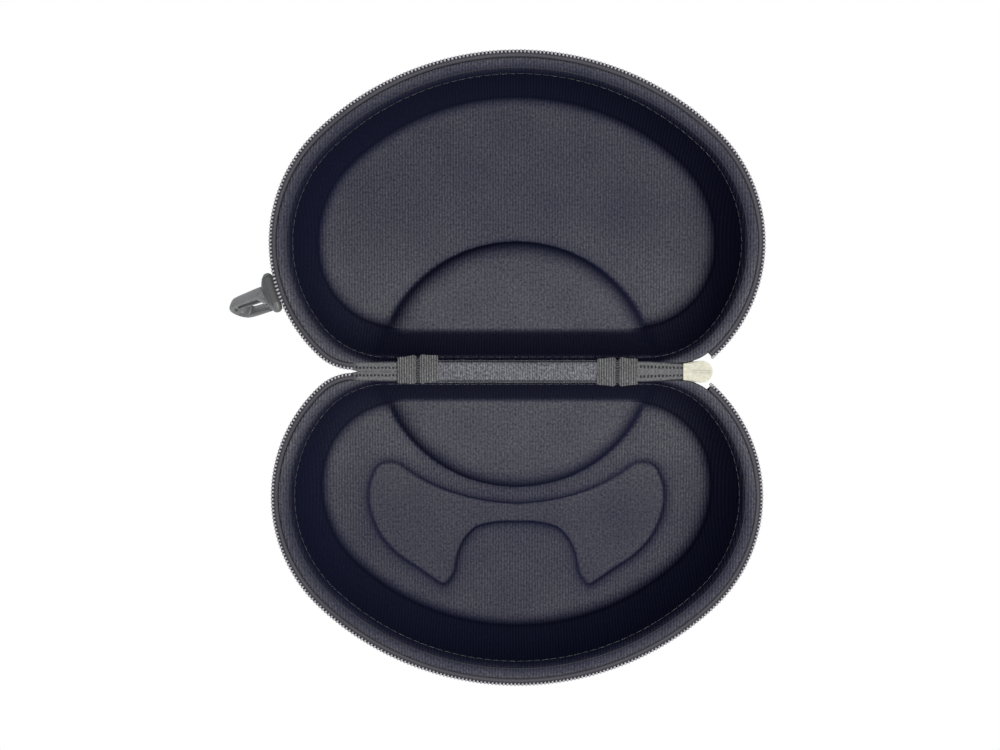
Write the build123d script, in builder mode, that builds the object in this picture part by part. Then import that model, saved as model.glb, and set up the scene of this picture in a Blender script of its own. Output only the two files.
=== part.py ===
"""Zip-up moulded goggle case, lying open flat: two half shells on a fabric hinge.

Units are millimetres. +Z is up, the floor is Z = 0 and the rims lie in the plane Z = rim_z.
The hinge line runs along X at Y = hinge_y; the back shell is on its +Y side, the front shell on
its -Y side. Outlines are drawn in (x, v), v being the distance from the hinge line.
"""

import os
from math import atan2, cos, degrees, radians, sin, sqrt, tan

from build123d import *

os.makedirs("parts", exist_ok=True)

# ---- the two shells ---------------------------------------------------------------------------
rim_z = 46.0           # height of the rim plane, which is also the depth of one shell
hinge_y = -84.0        # hinge line
side_cx = 38.0         # centre of the side arcs of the zip edge
side_cv = 51.9
side_r = 62.8
far_cv = 12.0          # centre of the far arc of the zip edge
far_r = sqrt(side_cx ** 2 + (side_cv - far_cv) ** 2) + side_r
zip_edge_v = 0.35      # zip edge beside the hinge line
zip_corner = 21.0
tub_inset = 3.2        # shell wall, inwards from the zip edge
tub_edge_v = 0.5
tub_corner = 34.0
cavity_inset = 8.2     # inside of the shell wall
cavity_edge_v = 4.3
cavity_corner = 34.0
cavity_depth = 41.0
wall_lean = tan(radians(7.0))
floor_t = rim_z - cavity_depth
outer_round = 14.0
inner_round = 10.0
cover_t = 0.8
lining_t = 0.9
seam_gap = 0.1         # half the gap between the closed rims
rebate_depth = 2.2     # step in the rim that carries the zip

# ---- half-round step in each floor, beside the hinge --------------------------------------------
step_cv = -7.0
step_r_base = 59.5
step_r_top = 52.5
step_h = 8.0
step_round = 2.0
step_lean = 0.454      # radius lost per millimetre of offset into the wall

# ---- goggle outline pressed into the front floor ------------------------------------------------
badge_depth = 2.0

# ---- zip ---------------------------------------------------------------------------------------
coil_w = 2.0
coil_top = 0.2         # below the rim plane
coil_bottom = 1.75
tape_top = 1.8
tape_bottom = 2.15
flare_drop = 7.4       # lower edge of the tape, below the rim plane
tail_x = 48.4          # zip tapes end under the end tabs
chain_x = 48.9         # closed stretch of zip
slider_x = 67.5        # rear end of the slider
slider_len = 11.8

# ---- hinge strip and end tabs -------------------------------------------------------------------
strip_half = 47.9
strip_v = 3.45
tab_len = 16.3
tab_wide = 11.4
tab_t = 1.1

# ---- hook and its webbing loop --------------------------------------------------------------------
bar_x = -99.8
bar_v = 32.2
bar_z = 37.0
hang = radians(55.0)   # hook hangs this far below level, leaning on the table
turn = radians(47.0)   # hook turned on its swivel
hook_t = 5.0


def rim_plane(z):
    """Drawing plane at height z with its origin on the hinge line."""
    return Plane(origin=(0, hinge_y, z))


def d_loop(inset, edge, corner):
    """Closed D outline: hinge side, two corners, two side arcs and the far arc."""
    side = side_r - inset
    far = far_r - inset
    reach = side - corner
    drop = side_cv - edge - corner
    corner_x = side_cx + sqrt(reach ** 2 - drop ** 2)
    corner_v = edge + corner
    low = degrees(atan2(corner_v - side_cv, corner_x - side_cx))
    high = degrees(atan2(side_cv - far_cv, side_cx))
    Line((-corner_x, edge), (corner_x, edge))
    CenterArc((corner_x, corner_v), corner, -90, low + 90)
    CenterArc((side_cx, side_cv), side, low, high - low)
    CenterArc((0, far_cv), far, high, 180 - 2 * high)
    CenterArc((-side_cx, side_cv), side, 180 - high, high - low)
    CenterArc((-corner_x, corner_v), corner, 180 - low, low + 90)


def d_prism(inset, edge, corner, low_z, high_z):
    """Straight-sided D block between two heights."""
    with BuildPart() as block:
        with BuildSketch(rim_plane(low_z)):
            with BuildLine():
                d_loop(inset, edge, corner)
            make_face()
        extrude(amount=high_z - low_z)
    return block.part


def d_taper(top, bottom, corner_top, corner_bottom, low_z, high_z):
    """D block whose outline differs at the two ends; top and bottom are (inset, edge)."""
    with BuildPart() as block:
        with BuildSketch(rim_plane(low_z)):
            with BuildLine():
                d_loop(bottom[0], bottom[1], corner_bottom)
            make_face()
        with BuildSketch(rim_plane(high_z)):
            with BuildLine():
                d_loop(top[0], top[1], corner_top)
            make_face()
        loft(ruled=True)
    return block.part


def tub(inset, edge, corner, base_z, top_z, base_round, edge_lean):
    """Drafted bowl form with a rounded bottom edge."""
    slant = wall_lean * (top_z - base_z)
    with BuildPart() as form:
        low_corner = corner - slant / 2
        add(d_taper((inset, edge), (inset + slant, edge + edge_lean), corner, low_corner, base_z, top_z))
        fillet(form.faces().sort_by(Axis.Z)[0].edges(), base_round)
    return form.part


def step_form(offset, base_z):
    """Half-round step, offset into the wall by the given distance."""
    with BuildPart() as form:
        with BuildSketch(Plane(origin=(0, hinge_y + step_cv, base_z))):
            Circle(step_r_base - step_lean * offset)
        with BuildSketch(Plane(origin=(0, hinge_y + step_cv, base_z + step_h))):
            Circle(step_r_top - step_lean * offset)
        loft(ruled=True)
        fillet(form.faces().sort_by(Axis.Z)[-1].edges(), step_round)
    return form.part


def outer_form(offset):
    """Shell outside, moved inwards by the offset."""
    with BuildPart() as form:
        corner = tub_corner - offset
        add(tub(tub_inset + offset, tub_edge_v + offset, corner, offset, rim_z, outer_round - offset, 2.5))
        add(step_form(floor_t - offset, offset), mode=Mode.SUBTRACT)
    return form.part


def inner_form(offset):
    """Space inside the shell, grown by the offset."""
    with BuildPart() as form:
        add(
            tub(
                cavity_inset - offset,
                cavity_edge_v - offset,
                cavity_corner + offset,
                floor_t - offset,
                rim_z,
                inner_round + offset,
                3.0,
            )
        )
        add(step_form(offset, floor_t - offset), mode=Mode.SUBTRACT)
    return form.part


def badge_form(grow):
    """Goggle outline, cut into the floor and grown all round."""
    with BuildPart() as form:
        with BuildSketch(rim_plane(floor_t - badge_depth - grow)) as outline:
            with BuildLine():
                right_top = (50.0, 43.2)
                lobe_out = (61.2, 47.0)
                lobe_low = (60.0, 70.0)
                cheek = (43.6, 86.7)
                tip = (31.0, 94.6)
                tip_in = (26.6, 87.5)
                brow = (17.5, 70.0)
                ThreePointArc((-right_top[0], right_top[1]), (0, 60.0), right_top)
                ThreePointArc(right_top, (57.2, 42.6), lobe_out)
                ThreePointArc(lobe_out, (63.3, 58.0), lobe_low)
                ThreePointArc(lobe_low, (53.6, 79.2), cheek)
                ThreePointArc(cheek, (37.5, 91.0), (33.2, 94.0))
                ThreePointArc((33.2, 94.0), tip, (28.9, 92.6))
                ThreePointArc((28.9, 92.6), (27.4, 90.2), tip_in)
                ThreePointArc(tip_in, (23.6, 77.0), brow)
                ThreePointArc(brow, (9.5, 67.9), (0, 67.6))
                ThreePointArc((0, 67.6), (-9.5, 67.9), (-brow[0], brow[1]))
                ThreePointArc((-brow[0], brow[1]), (-23.6, 77.0), (-tip_in[0], tip_in[1]))
                ThreePointArc((-tip_in[0], tip_in[1]), (-27.4, 90.2), (-28.9, 92.6))
                ThreePointArc((-28.9, 92.6), (-tip[0], tip[1]), (-33.2, 94.0))
                ThreePointArc((-33.2, 94.0), (-37.5, 91.0), (-cheek[0], cheek[1]))
                ThreePointArc((-cheek[0], cheek[1]), (-53.6, 79.2), (-lobe_low[0], lobe_low[1]))
                ThreePointArc((-lobe_low[0], lobe_low[1]), (-63.3, 58.0), (-lobe_out[0], lobe_out[1]))
                ThreePointArc((-lobe_out[0], lobe_out[1]), (-57.2, 42.6), (-right_top[0], right_top[1]))
            make_face()
            if grow > 0:
                offset(amount=grow)
        extrude(amount=badge_depth + grow + 0.6)
    return form.part


def rim_step():
    """Everything outside the lip above the step that carries the zip."""
    with BuildPart() as form:
        with Locations((0, hinge_y + 60, rim_z - rebate_depth + 5)):
            Box(260, 180, 10)
        low_z = rim_z - rebate_depth - 1
        inner = d_prism(tub_inset + 0.05, zip_edge_v + tub_inset, zip_corner - tub_inset, low_z, rim_z + 11)
        add(inner, mode=Mode.SUBTRACT)
    return form.part


def slider_room():
    """Clear space round the hinge line for the slider."""
    with BuildPart() as form:
        with BuildSketch(Plane(origin=(62.5, hinge_y, rim_z), z_dir=(1, 0, 0))):
            Circle(4.7)
        extrude(amount=17.5)
    return form.part


def over_hinge(shape):
    """Mirror image of a back-shell piece across the hinge line."""
    return mirror(shape, about=Plane(origin=(0, hinge_y, 0), z_dir=(0, 1, 0)))


# ---- shell layers -------------------------------------------------------------------------------
outer_skin = outer_form(0)
foam_skin = outer_form(cover_t)
inner_room = inner_form(0)
inner_skin = inner_form(lining_t)
step_cut = rim_step()
room_cut = slider_room()
foam_top = rim_z - lining_t - seam_gap

with BuildPart() as high_cut:
    with Locations((0, hinge_y + 60, foam_top + 5)):
        Box(260, 180, 10)

with BuildPart() as back_cover:
    add(outer_skin)
    add(foam_skin, mode=Mode.SUBTRACT)
    add(high_cut.part, mode=Mode.SUBTRACT)
    add(step_cut, mode=Mode.SUBTRACT)
    add(room_cut, mode=Mode.SUBTRACT)

with BuildPart() as back_foam:
    add(foam_skin)
    add(inner_skin, mode=Mode.SUBTRACT)
    add(high_cut.part, mode=Mode.SUBTRACT)
    add(step_cut, mode=Mode.SUBTRACT)
    add(room_cut, mode=Mode.SUBTRACT)

with BuildPart() as rim_lip:
    add(
        d_prism(
            tub_inset + cover_t, tub_edge_v + cover_t, tub_corner - cover_t, foam_top, rim_z - seam_gap
        )
    )
    fillet(rim_lip.faces().sort_by(Axis.Z)[-1].edges(), 0.6)

with BuildPart() as back_lining:
    add(inner_skin)
    add(high_cut.part, mode=Mode.SUBTRACT)
    add(rim_lip.part)
    add(inner_room, mode=Mode.SUBTRACT)
    add(step_cut, mode=Mode.SUBTRACT)
    add(room_cut, mode=Mode.SUBTRACT)

front_cover_part = over_hinge(back_cover.part)

with BuildPart() as badge_cut:
    add(over_hinge(badge_form(0)))

with BuildPart() as badge_skin:
    add(over_hinge(badge_form(lining_t)))

with BuildPart() as front_cover:
    add(front_cover_part)

with BuildPart() as front_foam:
    add(over_hinge(back_foam.part))
    add(badge_skin.part, mode=Mode.SUBTRACT)

with BuildPart() as badge_pad:
    add(badge_skin.part)
    with Locations((0, hinge_y - 60, floor_t + 5)):
        Box(260, 180, 10, mode=Mode.SUBTRACT)

with BuildPart() as front_lining:
    add(over_hinge(back_lining.part))
    add(badge_pad.part)
    add(badge_cut.part, mode=Mode.SUBTRACT)

# ---- zip tapes and coils ------------------------------------------------------------------------
zip_arc_x = side_cx + sqrt((side_r - zip_corner) ** 2 - (side_cv - zip_edge_v - zip_corner) ** 2)
zip_arc_v = zip_edge_v + zip_corner

with BuildPart() as slot_cut:
    with BuildSketch(rim_plane(rim_z - 12)):
        with BuildLine():
            Polyline(
                (-tail_x, -1), (zip_arc_x + 17.5, -1), (zip_arc_x, zip_arc_v), (zip_arc_x, 3.9), (-tail_x, 3.9),
                close=True,
            )
        make_face()
    extrude(amount=14)


def ring(inset_out, inset_in, low_z, high_z):
    """Band that follows the zip edge."""
    with BuildPart() as band:
        add(d_prism(inset_out, zip_edge_v + inset_out, zip_corner - inset_out, low_z, high_z))
        add(
            d_prism(inset_in, zip_edge_v + inset_in, zip_corner - inset_in, low_z - 1, high_z + 1),
            mode=Mode.SUBTRACT,
        )
    return band.part


coil_ring = ring(0.0, coil_w, rim_z - coil_bottom, rim_z - coil_top)
tape_ring = ring(0.4, tub_inset - 0.05, rim_z - tape_bottom, rim_z - tape_top)

with BuildPart() as flare:
    add(
        d_taper(
            (0.4, zip_edge_v + 0.4), (4.2, zip_edge_v + 4.2), zip_corner - 0.4, zip_corner - 4.2,
            rim_z - flare_drop, rim_z - tape_bottom + 0.05,
        )
    )
    add(
        d_taper(
            (1.1, zip_edge_v + 1.1), (4.9, zip_edge_v + 4.9), zip_corner - 1.1, zip_corner - 4.9,
            rim_z - flare_drop, rim_z - tape_bottom + 0.05,
        ),
        mode=Mode.SUBTRACT,
    )
    add(outer_skin, mode=Mode.SUBTRACT)

with BuildPart() as back_zip_coil:
    add(coil_ring)
    add(slot_cut.part, mode=Mode.SUBTRACT)

with BuildPart() as back_zip_tape:
    add(tape_ring)
    add(flare.part)
    add(slot_cut.part, mode=Mode.SUBTRACT)
    add(room_cut, mode=Mode.SUBTRACT)

with BuildPart() as front_zip_coil:
    add(over_hinge(back_zip_coil.part))

with BuildPart() as front_zip_tape:
    add(over_hinge(back_zip_tape.part))

with BuildPart() as chain_room:
    with BuildSketch(rim_plane(rim_z - 2.6)):
        with BuildLine():
            Polyline(
                (chain_x, 0), (zip_arc_x + 16.6, 0), (zip_arc_x - 0.1, zip_arc_v - 0.2), (zip_arc_x - 0.1, 3.9),
                (chain_x, 3.9), close=True,
            )
        make_face()
    extrude(amount=3)

with BuildPart() as half_chain:
    add(ring(0.0, coil_w, rim_z - tape_top, rim_z - coil_top))
    add(tape_ring)
    add(chain_room.part, mode=Mode.INTERSECT)

with BuildPart() as zip_chain_closed:
    add(half_chain.part)
    add(over_hinge(half_chain.part))
    with Locations(((chain_x + slider_x) / 2, hinge_y, rim_z - (tape_bottom + coil_top) / 2)):
        Box(slider_x - chain_x, 1.2, tape_bottom - coil_top)

# ---- lining stitch lines --------------------------------------------------------------------------
stitch_z = rim_z - 5.0
stitch_inset = cavity_inset + wall_lean * 5.0
stitch_edge = cavity_edge_v + 3.0 * 5.0 / cavity_depth

with BuildPart() as back_stitch_line:
    add(d_prism(stitch_inset - 0.02, stitch_edge - 0.02, cavity_corner, stitch_z, stitch_z + 0.4))
    add(
        d_prism(stitch_inset + 0.38, stitch_edge + 0.38, cavity_corner - 0.4, stitch_z - 1, stitch_z + 1.4),
        mode=Mode.SUBTRACT,
    )
    add(inner_room, mode=Mode.INTERSECT)

with BuildPart() as front_stitch_line:
    add(over_hinge(back_stitch_line.part))

# ---- hinge strip, end tabs ----------------------------------------------------------------------
with BuildPart() as hinge_strip:
    with Locations((0, hinge_y, rim_z - 0.5)):
        Box(2 * strip_half, 2 * strip_v, 0.8)

with BuildPart() as hinge_web:
    with Locations((0, hinge_y, rim_z - 1.5)):
        Box(2 * strip_half, 2 * strip_v, 1.1)


def end_tab(centre_x, centre_v):
    """Folded ribbon tab, pinched across its middle."""
    with BuildPart() as tab:
        with BuildSketch(rim_plane(rim_z)):
            with Locations((centre_x, centre_v)):
                RectangleRounded(tab_len, tab_wide, 0.8)
                with Locations((0, tab_wide / 2), (0, -tab_wide / 2)):
                    Rectangle(1.2, 2.2, mode=Mode.SUBTRACT)
        extrude(amount=tab_t)
        fillet(tab.faces().sort_by(Axis.Z)[-1].edges().filter_by(Axis.Y), 0.3)
    return tab.part


def bar_tack(centre_x, centre_v):
    """Row of tight stitches across the middle of an end tab."""
    with BuildPart() as tack:
        with Locations((centre_x, hinge_y + centre_v, rim_z + tab_t + 0.15)):
            Box(0.9, tab_wide - 2.8, 0.3)
    return tack.part


with BuildPart() as left_end_tab:
    add(end_tab(-40.3, 1.0))

with BuildPart() as right_end_tab:
    add(end_tab(40.7, 0.0))

with BuildPart() as left_tab_stitch:
    add(bar_tack(-40.3, 1.0))

with BuildPart() as right_tab_stitch:
    add(bar_tack(40.7, 0.0))

# ---- slider and pull ------------------------------------------------------------------------------
nose_x = slider_x + slider_len
plate_t = 0.9
plate_gap_top = rim_z + 0.05
plate_gap_low = rim_z - tape_bottom - 0.15


def slider_plate(half_rear, half_front, base_z):
    """Slider plate: narrow rear, wide shoulders, rounded nose."""
    with BuildPart() as plate:
        with BuildSketch(rim_plane(base_z)):
            with BuildLine():
                Polyline(
                    (nose_x - 3.2, half_front), (slider_x + 6.0, half_front), (slider_x + 3.6, half_rear),
                    (slider_x, half_rear), (slider_x, -half_rear), (slider_x + 3.6, -half_rear),
                    (slider_x + 6.0, -half_front), (nose_x - 3.2, -half_front),
                )
                ThreePointArc((nose_x - 3.2, -half_front), (nose_x, 0), (nose_x - 3.2, half_front))
            make_face()
        extrude(amount=plate_t)
    return plate.part


with BuildPart() as slider_body:
    add(slider_plate(3.3, 4.35, plate_gap_top))
    add(slider_plate(3.2, 3.4, plate_gap_low - plate_t))
    with BuildSketch(rim_plane(plate_gap_low)):
        with BuildLine():
            Polyline(
                (nose_x - 4.4, 0), (nose_x - 2.6, 1.3), (nose_x - 0.9, 0), (nose_x - 2.6, -1.3), close=True,
            )
        make_face()
    extrude(amount=plate_gap_top - plate_gap_low)

bail_x0 = slider_x + 2.6
bail_x1 = slider_x + 9.6
bail_z = plate_gap_low - plate_t

with BuildPart() as slider_bail:
    with BuildSketch(Plane(origin=(0, hinge_y - 0.7, 0), x_dir=(1, 0, 0), z_dir=(0, -1, 0))) as bail_face:
        with BuildLine():
            Polyline(
                (bail_x0, bail_z), (bail_x0, bail_z - 2.4), (bail_x0 + 1.2, bail_z - 3.6),
                (bail_x1 - 1.2, bail_z - 3.6), (bail_x1, bail_z - 2.4), (bail_x1, bail_z),
                (bail_x1 - 1.4, bail_z), (bail_x1 - 1.4, bail_z - 2.2), (bail_x0 + 1.4, bail_z - 2.2),
                (bail_x0 + 1.4, bail_z), close=True,
            )
        make_face()
    extrude(amount=-1.4)

pull_x = slider_x + 6.0
pull_pivot_z = bail_z - 1.3

pull_w = 5.2
pull_len = 23.4

with BuildPart() as pull_tab:
    with BuildSketch(Plane(origin=(pull_x - 0.5, hinge_y, pull_pivot_z), x_dir=(0, 1, 0), z_dir=(1, 0, 0))) as face:
        with Locations((0, -pull_len / 2)):
            Rectangle(pull_w, pull_len)
        fillet(face.vertices().group_by(Axis.Z)[0], 2.0)
        with Locations((0, -2.65)):
            Rectangle(2.4, 5.3, mode=Mode.SUBTRACT)
    extrude(amount=1.0)
    with Locations(Location((pull_x, hinge_y, pull_pivot_z), (90, 0, 0))):
        Cylinder(0.6, pull_w)

# ---- webbing loop and hook --------------------------------------------------------------------------
out_x = (bar_x + side_cx) / sqrt((bar_x + side_cx) ** 2 + (bar_v - side_cv) ** 2)
out_y = (bar_v - side_cv) / sqrt((bar_x + side_cx) ** 2 + (bar_v - side_cv) ** 2)
bar_origin = (bar_x, hinge_y + bar_v, bar_z)
bar_dir = Vector(-out_y, out_x, 0)
hook_dir = Vector(out_x * cos(hang), out_y * cos(hang), -sin(hang))
base_normal = hook_dir.cross(bar_dir)
hook_normal = base_normal * cos(turn) + bar_dir * sin(turn)
loop_low = -5.5
loop_high = 4.7


def bar_plane(along):
    """Section plane across the bar; its x points away from the case, its y up."""
    spot = Vector(bar_origin) + bar_dir * along
    return Plane(origin=spot, x_dir=(out_x, out_y, 0), z_dir=bar_dir * -1)


with BuildPart() as hook_webbing:
    with BuildSketch(bar_plane(loop_high)):
        Circle(3.1)
        with BuildLine():
            Polyline((0, 3.1), (-6.1, 1.3), (-6.1, -1.3), (0, -3.1), close=True)
        make_face()
        Circle(1.9, mode=Mode.SUBTRACT)
        with BuildLine():
            Polyline((0, 1.9), (-5.0, 0.15), (-5.0, -0.15), (0, -1.9), close=True)
        make_face(mode=Mode.SUBTRACT)
    extrude(amount=loop_high - loop_low)

base_plane = Plane(origin=bar_origin, x_dir=hook_dir, z_dir=base_normal)
hook_plane = Plane(origin=bar_origin, x_dir=hook_dir, z_dir=hook_normal)

with BuildPart() as hook_base:
    with BuildSketch(base_plane.offset(-1.8)):
        with BuildLine():
            Polyline(
                (-1.6, -6.3), (-1.6, 7.1), (-0.3, 8.2), (1.4, 8.2), (6.0, 4.6), (6.0, -4.0), (1.6, -7.4),
                (-0.3, -7.4), close=True,
            )
        make_face()
        with Locations((0.95, -0.4)):
            Rectangle(5.3, 10.6, mode=Mode.SUBTRACT)
    extrude(amount=3.6)
    with BuildSketch(Plane(origin=Vector(bar_origin) - bar_dir * 6.3, x_dir=hook_dir, z_dir=bar_dir)):
        Circle(1.65)
    extrude(amount=12.8)
    with BuildSketch(Plane(origin=Vector(bar_origin) + hook_dir * 5.9, x_dir=bar_dir, z_dir=hook_dir)):
        Circle(1.3)
    extrude(amount=3.4)
    with BuildSketch(Plane(origin=Vector(bar_origin) + hook_dir * 8.1, x_dir=bar_dir, z_dir=hook_dir)):
        Circle(1.9)
    extrude(amount=1.2)

with BuildPart() as hook_body:
    with BuildSketch(hook_plane.offset(-hook_t / 2)):
        with BuildLine():
            Polyline((6.2, 6.0), (6.2, -3.2), (8.0, -3.2), (38.0, -1.6))
            ThreePointArc((38.0, -1.6), (41.9, 1.2), (41.2, 5.0))
            ThreePointArc((41.2, 5.0), (38.2, 7.7), (34.0, 8.8))
            Line((34.0, 8.8), (14.6, 9.0))
            ThreePointArc((14.6, 9.0), (13.4, 7.9), (14.6, 6.8))
            Line((14.6, 6.8), (33.6, 6.6))
            ThreePointArc((33.6, 6.6), (37.4, 4.1), (33.6, 1.9))
            Polyline((33.6, 1.9), (12.0, 1.9), (10.6, 3.2), (10.6, 6.4), (8.6, 7.6), (6.2, 6.0))
        make_face()
    extrude(amount=hook_t)
    for face_side in (1, -1):
        with BuildSketch(hook_plane.offset(face_side * hook_t / 2)):
            with BuildLine():
                Polyline((12.0, -1.8), (33.0, -0.7), (33.0, 0.9), (12.0, 0.9), close=True)
            make_face()
        extrude(amount=-face_side * 1.6, mode=Mode.SUBTRACT)
        with BuildSketch(hook_plane.offset(face_side * hook_t / 2)):
            with Locations((17.6, 7.9), (21.4, 7.9), (26.6, 7.8), (31.8, 7.7)):
                Rectangle(2.6, 1.1)
        extrude(amount=-face_side * 1.4, mode=Mode.SUBTRACT)
    with BuildSketch(Plane(origin=Vector(bar_origin) + hook_dir * 6.1, x_dir=bar_dir, z_dir=hook_dir)):
        Circle(1.45)
    extrude(amount=2.1, mode=Mode.SUBTRACT)
    with BuildSketch(Plane(origin=Vector(bar_origin) + hook_dir * 8.0, x_dir=bar_dir, z_dir=hook_dir)):
        Circle(2.05)
    extrude(amount=1.5, mode=Mode.SUBTRACT)
    with BuildSketch(hook_plane.offset(-1.6)):
        with Locations((9.55, 5.2)):
            Rectangle(4.1, 5.4)
    extrude(amount=3.2, mode=Mode.SUBTRACT)
    with BuildSketch(hook_plane.offset(-hook_t / 2 - 1)):
        with Locations((8.9, 5.2)):
            Circle(0.72)
    extrude(amount=hook_t + 2, mode=Mode.SUBTRACT)

with BuildPart() as hook_gate_pin:
    with BuildSketch(hook_plane.offset(-hook_t / 2)):
        with Locations((8.9, 5.2)):
            Circle(0.7)
    extrude(amount=hook_t)

with BuildPart() as hook_gate:
    with BuildSketch(hook_plane.offset(-1.4)):
        with Locations((8.9, 5.2)):
            Circle(1.35)
        with BuildLine():
            Polyline((8.9, 6.3), (17.2, 6.5), (17.2, 5.3), (11.0, 4.7), (8.9, 4.1), close=True)
        make_face()
        with Locations((8.9, 5.2)):
            Circle(0.8, mode=Mode.SUBTRACT)
    extrude(amount=2.8)

with BuildPart() as hook_gate_spring:
    with BuildSketch(hook_plane.offset(-1.0)):
        with BuildLine():
            Polyline((12.2, 1.92), (12.2, 2.2), (15.6, 5.1), (15.9, 4.9), (12.9, 1.92), close=True)
        make_face()
    extrude(amount=2.0)

# ---- names and files --------------------------------------------------------------------------------
pieces = {
    "back_cover": back_cover.part,
    "back_foam": back_foam.part,
    "back_lining": back_lining.part,
    "back_zip_tape": back_zip_tape.part,
    "back_zip_coil": back_zip_coil.part,
    "back_stitch_line": back_stitch_line.part,
    "front_cover": front_cover.part,
    "front_foam": front_foam.part,
    "front_lining": front_lining.part,
    "front_zip_tape": front_zip_tape.part,
    "front_zip_coil": front_zip_coil.part,
    "front_stitch_line": front_stitch_line.part,
    "hinge_strip": hinge_strip.part,
    "hinge_web": hinge_web.part,
    "left_end_tab": left_end_tab.part,
    "right_end_tab": right_end_tab.part,
    "left_tab_stitch": left_tab_stitch.part,
    "right_tab_stitch": right_tab_stitch.part,
    "zip_chain_closed": zip_chain_closed.part,
    "slider_body": slider_body.part,
    "slider_bail": slider_bail.part,
    "pull_tab": pull_tab.part,
    "hook_webbing": hook_webbing.part,
    "hook_base": hook_base.part,
    "hook_body": hook_body.part,
    "hook_gate": hook_gate.part,
    "hook_gate_pin": hook_gate_pin.part,
    "hook_gate_spring": hook_gate_spring.part,
}

for label, piece in pieces.items():
    piece.label = label
    export_step(piece, "parts/" + label + ".step")
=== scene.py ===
"""Looks for the zip-up goggle case: knit lining, moulded cover, zip, ribbon tabs, slider and hook.

Everything is worked out in millimetres from the case's driving sizes and handed to Blender in metres.
Outlines are drawn in (x, v), v being the distance from the hinge line, as in the CAD part.
"""

from math import atan2, cos, hypot, pi, radians, sin, sqrt, tan

import bpy
import numpy as np
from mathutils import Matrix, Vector


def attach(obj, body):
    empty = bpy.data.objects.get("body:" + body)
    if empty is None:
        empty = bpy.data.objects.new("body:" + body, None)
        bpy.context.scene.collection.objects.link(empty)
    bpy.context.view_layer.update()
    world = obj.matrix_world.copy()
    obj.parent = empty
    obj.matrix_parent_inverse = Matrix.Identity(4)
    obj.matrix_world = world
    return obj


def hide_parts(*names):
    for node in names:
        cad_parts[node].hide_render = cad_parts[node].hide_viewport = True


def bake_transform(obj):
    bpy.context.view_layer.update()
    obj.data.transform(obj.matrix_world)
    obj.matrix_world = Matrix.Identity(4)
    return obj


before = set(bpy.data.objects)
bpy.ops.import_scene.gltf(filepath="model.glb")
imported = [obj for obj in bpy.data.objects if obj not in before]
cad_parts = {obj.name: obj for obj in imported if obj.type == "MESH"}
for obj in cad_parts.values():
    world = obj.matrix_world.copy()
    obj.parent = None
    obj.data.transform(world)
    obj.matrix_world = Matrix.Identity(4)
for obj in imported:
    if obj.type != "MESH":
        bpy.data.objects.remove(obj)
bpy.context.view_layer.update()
rng = np.random.default_rng(7)

# ---- driving sizes, millimetres ------------------------------------------------------------------
RIM = 46.0                # height of the rim plane, also the depth of one shell
HINGE_Y = -84.0
SIDE_CX, SIDE_CV, SIDE_R, FAR_CV = 38.0, 51.9, 62.8, 12.0
FAR_R = hypot(SIDE_CX, SIDE_CV - FAR_CV) + SIDE_R
EDGE_V, CORNER = 0.35, 21.0
TUB = (3.2, 0.5, 34.0)    # outside of the shell wall: inset, hinge edge, corner radius
CAVITY = (8.2, 4.3, 34.0)
LIP = (3.2, 3.58, CORNER - 3.2)
DEPTH = 41.0
FLOOR = RIM - DEPTH
FLOOR_CENTRE = (0.0, 57.0)
LEAN = tan(radians(7.0))
OUTER_ROUND = 14.0
STEP_CV, STEP_BASE, STEP_ROLL, STEP_H = -7.0, 59.3, 9.0, 8.0
STEP_LEAN = 0.454         # radius lost per millimetre of offset into the wall
BADGE_DEPTH, BADGE_SHOULDER = 2.0, 4.2
BADGE_V, BADGE_X = (38, 100), 68   # window that holds the badge and its shoulder
TOOTH_PITCH = 1.556
ZIP_START = (13.0, 4.86)  # direction from the corner arc's centre to the first point of the open zip
TAIL_X, CHAIN_X, SLIDER_X, SLIDER_LEN = 48.4, 48.9, 67.5, 11.8
TAIL_END = 67.0
FLARE = 7.4
PAINTED_CREASE_SHADE = 0.66             # how much the painted shade darkens the knit at a crease
# Painted highlight on the rolled lip: a colour factor by inset, brightest at the zip seam and fading into the
# dark wall.
LIP_LIGHT_AT = (3.3, 4.9, 6.3, 7.5, 8.4, 9.4)
LIP_LIGHT = (1.5, 1.35, 0.95, 0.6, 0.3, 0.1)
KNIT_PITCH = 1.2

BACK, FRONT = 1, -1
SHELLS = ((BACK, "back", "case_back"), (FRONT, "front", "case_front"))


# ---- outlines ------------------------------------------------------------------------------------
def d_arcs(inset, edge, corner):
    """Arcs of one D outline, counter-clockwise from the right end of the hinge side."""
    side, far = SIDE_R - inset, FAR_R - inset
    cx = SIDE_CX + sqrt((side - corner) ** 2 - (SIDE_CV - edge - corner) ** 2)
    cv = edge + corner
    low = atan2(cv - SIDE_CV, cx - SIDE_CX)
    high = atan2(SIDE_CV - FAR_CV, SIDE_CX)
    return cx, [
        ((cx, cv), corner, -pi / 2, low),
        ((SIDE_CX, SIDE_CV), side, low, high),
        ((0, FAR_CV), far, high, pi - high),
        ((-SIDE_CX, SIDE_CV), side, pi - high, pi - low),
        ((-cx, cv), corner, pi - low, 1.5 * pi),
    ]


def d_ring(inset, edge, corner, counts=(34, 120, 180, 120, 34), across=150):
    """Closed ring of (x, v) points on a D outline, the same number for every outline."""
    cx, arcs = d_arcs(inset, edge, corner)
    points = [np.stack([np.linspace(-cx, cx, across, endpoint=False), np.full(across, edge)], 1)]
    for (centre, radius, start, end), count in zip(arcs, counts):
        a = np.linspace(start, end, count, endpoint=False)
        points.append(np.stack([centre[0] + radius * np.cos(a), centre[1] + radius * np.sin(a)], 1))
    return np.concatenate(points)


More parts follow.
